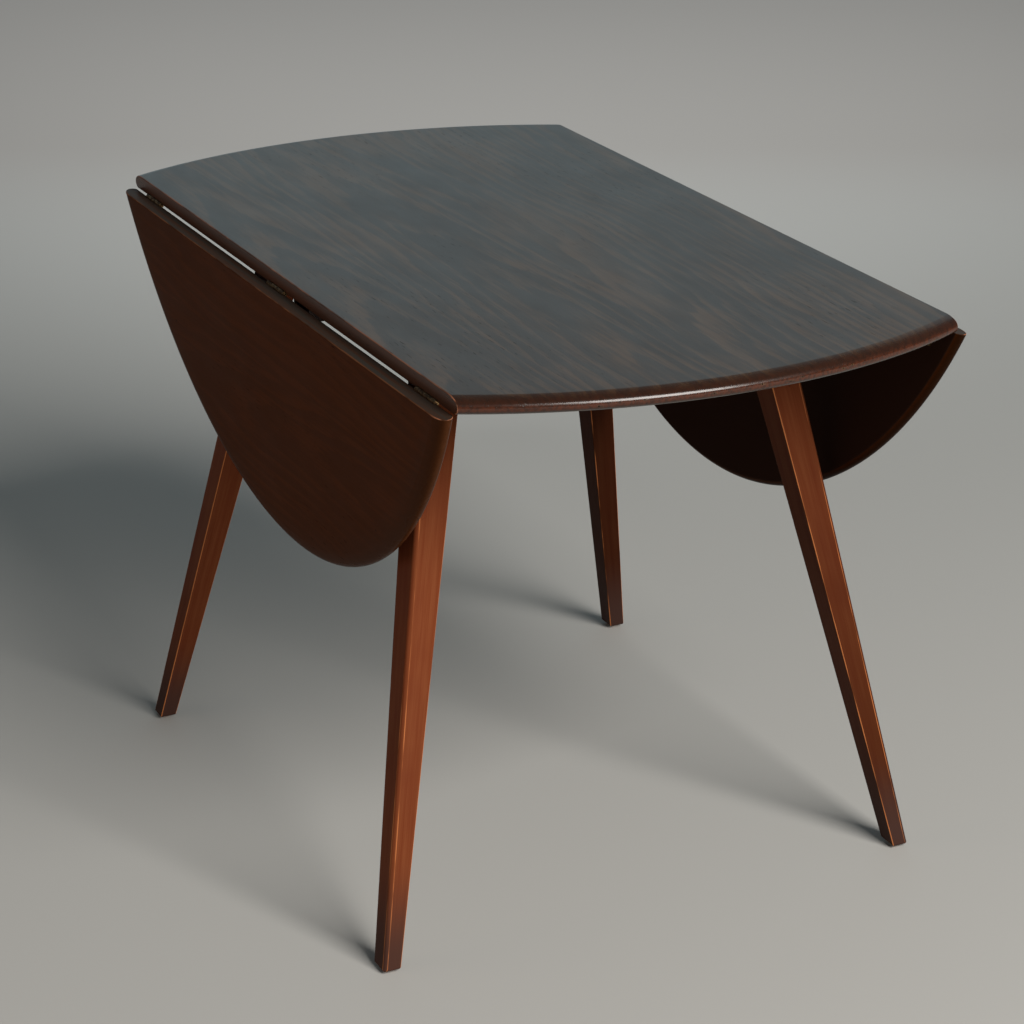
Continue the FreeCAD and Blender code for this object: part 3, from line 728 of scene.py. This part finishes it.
def rim_stain_and_shade(shader, height, streaks, rim_dark, rim_brown):
    """The rim's streaked stain: warm about its widest line and darker above it, and darker below it as
    painted shade where the rim turns under.
    """
    # the second factor is painted shade, darkening the rim where it turns under
    low = shader.math("MULTIPLY",
                      shader.between(height, TOP - RIM_WARM[0], TOP - RIM_WARM[1], 0.25, 0.9),
                      shader.between(height, TOP - RIM_UNDER_SHADE[1], TOP - RIM_UNDER_SHADE[0], 0.1, 1.0))
    share = shader.math("MULTIPLY", low, shader.between(streaks, 0.36, 0.62, 0.35, 1.0))
    return shader.mix(share, rim_dark, rim_brown)


def stained_board_painted_light(name, stain, rim_painted_shade, specular, roughness):
    """The boards' dark stain and wax: soft figure, open pores, rubbed rim and arrises, painted shade on
    the rim's underside and on a leaf's rim, and a painted sheen on the leaves' hinge edges.
    """
    shader = Shader(name)
    brown, dark, edge_stain_and_sheen = (colour(*stain[key]) for key in ("brown", "dark", "edge"))
    # a leaf's rim is darkened as painted shade; the panel's stays at its stain
    rim_brown, rim_dark = (colour(*(part * rim_painted_shade for part in stain[key]))
                           for key in ("rim_brown", "rim_dark"))
    grain = shader.attribute("grain", "Vector")
    wear, rim, edge = (shader.attribute(key) for key in ("wear", "rim", "edge"))
    height = shader.add("SeparateXYZ", {}, {"Vector": grain}, "Z")
    figure = wood_figure(shader, grain)
    streaks = shader.noise(grain, STREAKS, 4.0)
    fine = shader.noise(grain, FINE_GRAIN, 2.0)
    clusters = shader.between(shader.noise(grain, PORE_CLUSTERS, 2.0), 0.48, 0.66)
    pores = shader.between(shader.noise(grain, PORES, 1.5), 0.66, 0.75)
    pores = shader.math("MULTIPLY", pores, clusters)
    cloud = shader.between(shader.noise(grain, CLOUDS, 5.0, 0.62), 0.36, 0.64)

    tone = shader.math("MULTIPLY_ADD", figure, FIGURE_SHARE,
                       shader.math("MULTIPLY", streaks, STREAK_SHARE))
    tone = shader.math("MULTIPLY_ADD", fine, FINE_SHARE, tone)
    tone = shader.math("MULTIPLY_ADD", shader.between(tone, 0.32, 0.60), GRAIN_SHARE,
                       shader.math("MULTIPLY", cloud, CLOUD_SHARE))
    base = shader.mix(shader.between(tone, 0.15, 0.85), brown, dark)
    base = shader.mix(rim, base, rim_stain_and_shade(shader, height, streaks, rim_dark, rim_brown))
    # the hinge edges: the panel's own stain, and on the leaves a painted sheen
    edge_dark = shader.between(streaks, 0.3, 0.7, 0.0, 0.5)
    base = shader.mix(edge, base, shader.mix(edge_dark, edge_stain_and_sheen, dark))
    base = shader.mix(shader.math("MULTIPLY", pores, 0.8), base, PORE_COLOUR)
    base = shader.mix(specks(shader, grain, *BOARD_SPECKS), base, SPECK_COLOUR)
    rubbed = shader.between(shader.noise(grain, RUBBING, 3.0), 0.32, 0.62, 0.2, 1.0)
    worn = shader.between(shader.math("MULTIPLY", wear, rubbed), 0.2, 0.8)
    base = shader.mix(worn, base, shader.mix(rim, WORN_ARRIS, WORN_RIM))
    under = shader.between(height, UNDERSIDE + 0.0012, UNDERSIDE + 0.0004)
    base = shader.mix(under, base, UNDERSIDE_COLOUR)

    rough = shader.math("MULTIPLY_ADD", shader.noise(grain, WAX_PATCHES, 4.0), 0.12, roughness)
    rough = shader.math("MULTIPLY_ADD", pores, 0.2, rough)
    rough = shader.math("MULTIPLY_ADD", under, 0.2, rough)
    rough = shader.math("MULTIPLY_ADD", rim, -0.13, rough)
    shader.set(Base_Color=base, Roughness=rough, Specular_IOR_Level=specular)
    waves = shader.noise(grain, BOARD_WAVES, 2.0)
    shader.bump([(pores, -PORE_DEPTH), (figure, GRAIN_RELIEF), (waves, WAVE_RELIEF),
                 (streaks, GRAIN_RELIEF)])
    return shader.material


def stained_leg(name):
    """The legs: redder mahogany brown with a fine straight grain, rubbed arrises and dark toes, each leg
    darkened by its stain and by painted shade.
    """
    shader = Shader(name)
    grain = shader.attribute("grain", "Vector")
    wear, tone = shader.attribute("wear"), shader.attribute("tone")
    height = shader.add("SeparateXYZ", {}, {"Vector": shader.position()}, "Z")
    streaks = shader.noise(grain, LEG_STREAKS, 4.0)
    fine = shader.noise(grain, LEG_FINE_GRAIN, 3.0)
    blotch = shader.noise(grain, LEG_BLOTCHES, 3.0)
    figure = shader.math("MULTIPLY_ADD", streaks, 0.6, shader.math("MULTIPLY", fine, 0.4))
    base = shader.mix(shader.between(figure, 0.34, 0.66), LEG_BROWN, LEG_LIGHT_BROWN)
    base = shader.mix(shader.between(blotch, 0.45, 0.70, 0.0, 0.55), base, LEG_BLOTCH)
    # each leg darkened by its stain and by painted shade
    grey = shader.add("CombineColor", {}, dict.fromkeys(range(3), tone))
    base = shader.mix(1.0, base, grey, "MULTIPLY")
    base = shader.mix(shader.between(height, *LEG_TOE_HEIGHTS, 0.0, LEG_TOE_SHARE), base, LEG_TOE)
    base = shader.mix(specks(shader, grain, *LEG_SPECKS), base, LEG_SPECK)
    rubbed = shader.between(shader.noise(grain, LEG_RUBBING, 3.0), 0.30, 0.6, 0.35, 1.0)
    worn = shader.between(shader.math("MULTIPLY", wear, rubbed), 0.25, 0.8)
    base = shader.mix(worn, base, LEG_WORN)
    rough = shader.math("MULTIPLY_ADD", blotch, 0.15, LEG_ROUGHNESS)
    shader.set(Base_Color=base, Roughness=rough, Specular_IOR_Level=LEG_SPECULAR)
    shader.bump([(streaks, LEG_STREAK_RELIEF), (fine, LEG_FINE_RELIEF)])
    return shader.material


def bare_wood(name, scale):
    """The wood of the hidden frame: darker stain, sawn and duller."""
    shader = Shader(name)
    place = shader.position()
    streaks = shader.noise(place, scale, 5.0, 0.6)
    cloud = shader.noise(place, (9.0, 9.0, 9.0), 3.0)
    base = shader.mix(shader.between(streaks, 0.3, 0.7), colour(0.030, 0.013, 0.007),
                      colour(0.088, 0.037, 0.018))
    base = shader.mix(shader.between(cloud, 0.4, 0.7, 0.0, 0.5), base, colour(0.045, 0.014, 0.009))
    shader.set(Base_Color=base, Roughness=shader.between(streaks, 0.3, 0.7, 0.5, 0.68))
    shader.bump([(streaks, 0.00015)])
    return shader.material


def old_metal(name, clean, tarnish, rough, spotting):
    """Metal that has dulled in patches."""
    shader = Shader(name)
    place = shader.position()
    patches = shader.noise(place, (170.0, 170.0, 170.0), 4.0, 0.6)
    fine = shader.noise(place, (900.0, 900.0, 900.0), 2.0)
    spots = shader.math("MULTIPLY_ADD", fine, 0.3, shader.math("MULTIPLY", patches, 0.7))
    share = shader.between(spots, spotting - 0.12, spotting + 0.12)
    shader.set(Base_Color=shader.mix(share, clean, tarnish), Metallic=1.0,
               Roughness=shader.math("MULTIPLY_ADD", share, 0.25, rough))
    shader.bump([(fine, 0.00003)])
    return shader.material


def nylon(name):
    """Off-white glide, scuffed grey."""
    shader = Shader(name)
    scuffs = shader.noise(shader.position(), (300.0, 300.0, 120.0), 4.0, 0.6)
    base = shader.mix(shader.between(scuffs, 0.4, 0.7), colour(0.72, 0.68, 0.60),
                      colour(0.36, 0.32, 0.27))
    shader.set(Base_Color=base, Roughness=shader.between(scuffs, 0.35, 0.7, 0.32, 0.55))
    shader.set(Subsurface_Weight=0.12, Subsurface_Scale=0.002)
    shader.bump([(scuffs, 0.00005)])
    return shader.material


def give(obj, material):
    """Makes the material the object's only one."""
    obj.data.materials.clear()
    obj.data.materials.append(material)


def finish_nodes():
    """Materials for the CAD nodes that keep their own shape."""
    along_x = bare_wood("frame_wood_x", (6.0, 240.0, 240.0))
    along_y = bare_wood("frame_wood_y", (240.0, 6.0, 240.0))
    brass = old_metal("aged_brass", colour(0.42, 0.26, 0.12), colour(0.085, 0.050, 0.028), 0.3, 0.46)
    brass_screw = old_metal("brass_screw", colour(0.55, 0.37, 0.16), colour(0.09, 0.06, 0.035),
                            0.28, 0.55)
    zinc = old_metal("zinc_steel", colour(0.55, 0.55, 0.53), colour(0.28, 0.26, 0.22), 0.34, 0.5)
    finishes = [(along_x, ("long_rail", "keeper", "corner_block")),
                (along_y, ("cross_rail", "loper", "guide_inner", "guide_outer", "stop_peg")),
                (brass, ("panel_plate", "leaf_plate", "hinge_pin")),
                (brass_screw, ("panel_hinge_screws", "leaf_hinge_screws")),
                (zinc, ("leg_bolts", "leg_washers", "leg_nuts", "rail_screws", "block_screws",
                        "guide_screws"))]
    for name, node in frame["nodes"].items():
        for material, starts in finishes:
            if name.startswith(starts):
                give(node, material)


# ---------------------------------------------------------------- room

AIM = Vector((0.009, -0.0065, 0.372))
VIEW_AZIMUTH = math.radians(63.86)
VIEW_ELEVATION = math.radians(21.7)
VIEW_DISTANCE = 3.64
LENS = 102.96
SENSOR = 36
FLOOR = 14.0                    # from the middle to each side
FLOOR_COLOUR = colour(0.47, 0.46, 0.44)
SKY_COLOUR = colour(0.80, 0.92, 1.0)
SKY_STRENGTH = 0.10

# Soft lights, with power in watts: the main one, a cool one beyond the -X end that gives the top
# its sheen, and a weak warm one low in front of the hanging front leaf.
LIGHTS = {
    "window": {"place": (5.4, 1.12, 4.07), "target": (0.56, 0, 0.71), "size": (3.0, 3.6),
               "power": 560, "tint": (1.0, 0.97, 0.92)},
    "wall": {"place": (-2.5, 1.23, 1.5), "target": (0, 0, 0.72), "size": (3.6, 1.75),
             "power": 8.4, "tint": (0.62, 0.87, 0.94)},
    "fill": {"place": (-0.6, -4.2, 1.1), "target": (-0.1, -0.33, 0.55), "size": (2.6, 1.0),
             "power": 13, "tint": (1.0, 0.78, 0.58)},
}
FAR_PLACE = Vector((3.0, -1.5, 5.0))
FAR_TARGET = Vector((-7.0, 3.4, 0))
FAR_POWER = 2500
FAR_SPREAD = math.radians(46)
FAR_RADIUS = 0.5


def make_camera():
    """The main view, from above the +X end and the front leaf."""
    camera = bpy.data.objects.new("camera", bpy.data.cameras.new("camera"))
    bpy.context.scene.collection.objects.link(camera)
    camera.data.lens = LENS
    camera.data.sensor_width = SENSOR
    level = math.cos(VIEW_ELEVATION)
    back = Vector((math.sin(VIEW_AZIMUTH) * level, -math.cos(VIEW_AZIMUTH) * level,
                   math.sin(VIEW_ELEVATION)))
    camera.location = AIM + back * VIEW_DISTANCE
    camera.rotation_mode = "QUATERNION"
    camera.rotation_quaternion = back.to_track_quat("Z", "Y")
    bpy.context.scene.camera = camera


def make_floor():
    """A plain pale floor."""
    build = bmesh.new()
    signs = ((-1, -1), (1, -1), (1, 1), (-1, 1))
    corners = [(x * FLOOR, y * FLOOR, 0) for x, y in signs]
    build.faces.new(add_points(build, corners, {}))
    floor = bpy.data.objects.new("floor", finished_mesh(build, "floor"))
    bpy.context.scene.collection.objects.link(floor)
    shader = Shader("pale_floor")
    shader.set(Base_Color=FLOOR_COLOUR, Roughness=0.7, Specular_IOR_Level=0.2)
    give(floor, shader.material)


def make_light(name, place, target, size, power, tint):
    """A soft rectangular light that faces a point."""
    lamp = bpy.data.lights.new(name, "AREA")
    lamp.shape = "RECTANGLE"
    lamp.size, lamp.size_y = size
    lamp.energy = power
    lamp.color = tint
    made = bpy.data.objects.new(name, lamp)
    bpy.context.scene.collection.objects.link(made)
    made.location = place
    made.rotation_mode = "QUATERNION"
    made.rotation_quaternion = (Vector(place) - Vector(target)).to_track_quat("Z", "Y")
    made.visible_camera = False


def make_far_light():
    """A spot that passes over the table and keeps the floor behind it pale."""
    lamp = bpy.data.lights.new("far_floor", "SPOT")
    lamp.energy = FAR_POWER
    lamp.spot_size = FAR_SPREAD
    lamp.spot_blend = 1.0
    lamp.shadow_soft_size = FAR_RADIUS
    made = bpy.data.objects.new("far_floor", lamp)
    bpy.context.scene.collection.objects.link(made)
    made.location = FAR_PLACE
    made.rotation_mode = "QUATERNION"
    made.rotation_quaternion = (FAR_PLACE - FAR_TARGET).to_track_quat("Z", "Y")


def make_room():
    """The floor, a faint sky and the lights."""
    world = bpy.data.worlds.new("soft_studio")
    bpy.context.scene.world = world
    world.use_nodes = True
    sky = world.node_tree.nodes["Background"]
    sky.inputs["Color"].default_value = SKY_COLOUR
    sky.inputs["Strength"].default_value = SKY_STRENGTH
    make_floor()
    for name, settings in LIGHTS.items():
        make_light(name, **settings)
    make_far_light()
    bpy.context.scene.view_settings.view_transform = "Standard"


panel, *leaves = make_boards()
give(panel, stained_board_painted_light("stained_panel", PANEL_STAIN, 1.0, PANEL_SPECULAR, PANEL_ROUGHNESS))
for side_name, leaf in zip(SIDES, leaves):
    give(leaf, stained_board_painted_light("stained_" + leaf.name, LEAF_STAIN_AND_PAINTED_LIGHT, LEAF_RIM_PAINTED_SHADE[side_name],
                             LEAF_SPECULAR, LEAF_ROUGHNESS))
leg_finish = stained_leg("stained_leg")
for leg in make_legs():
    give(leg, leg_finish)
glide_finish = nylon("nylon")
for glide in make_glides():
    give(glide, glide_finish)
finish_nodes()
make_room()
make_camera()
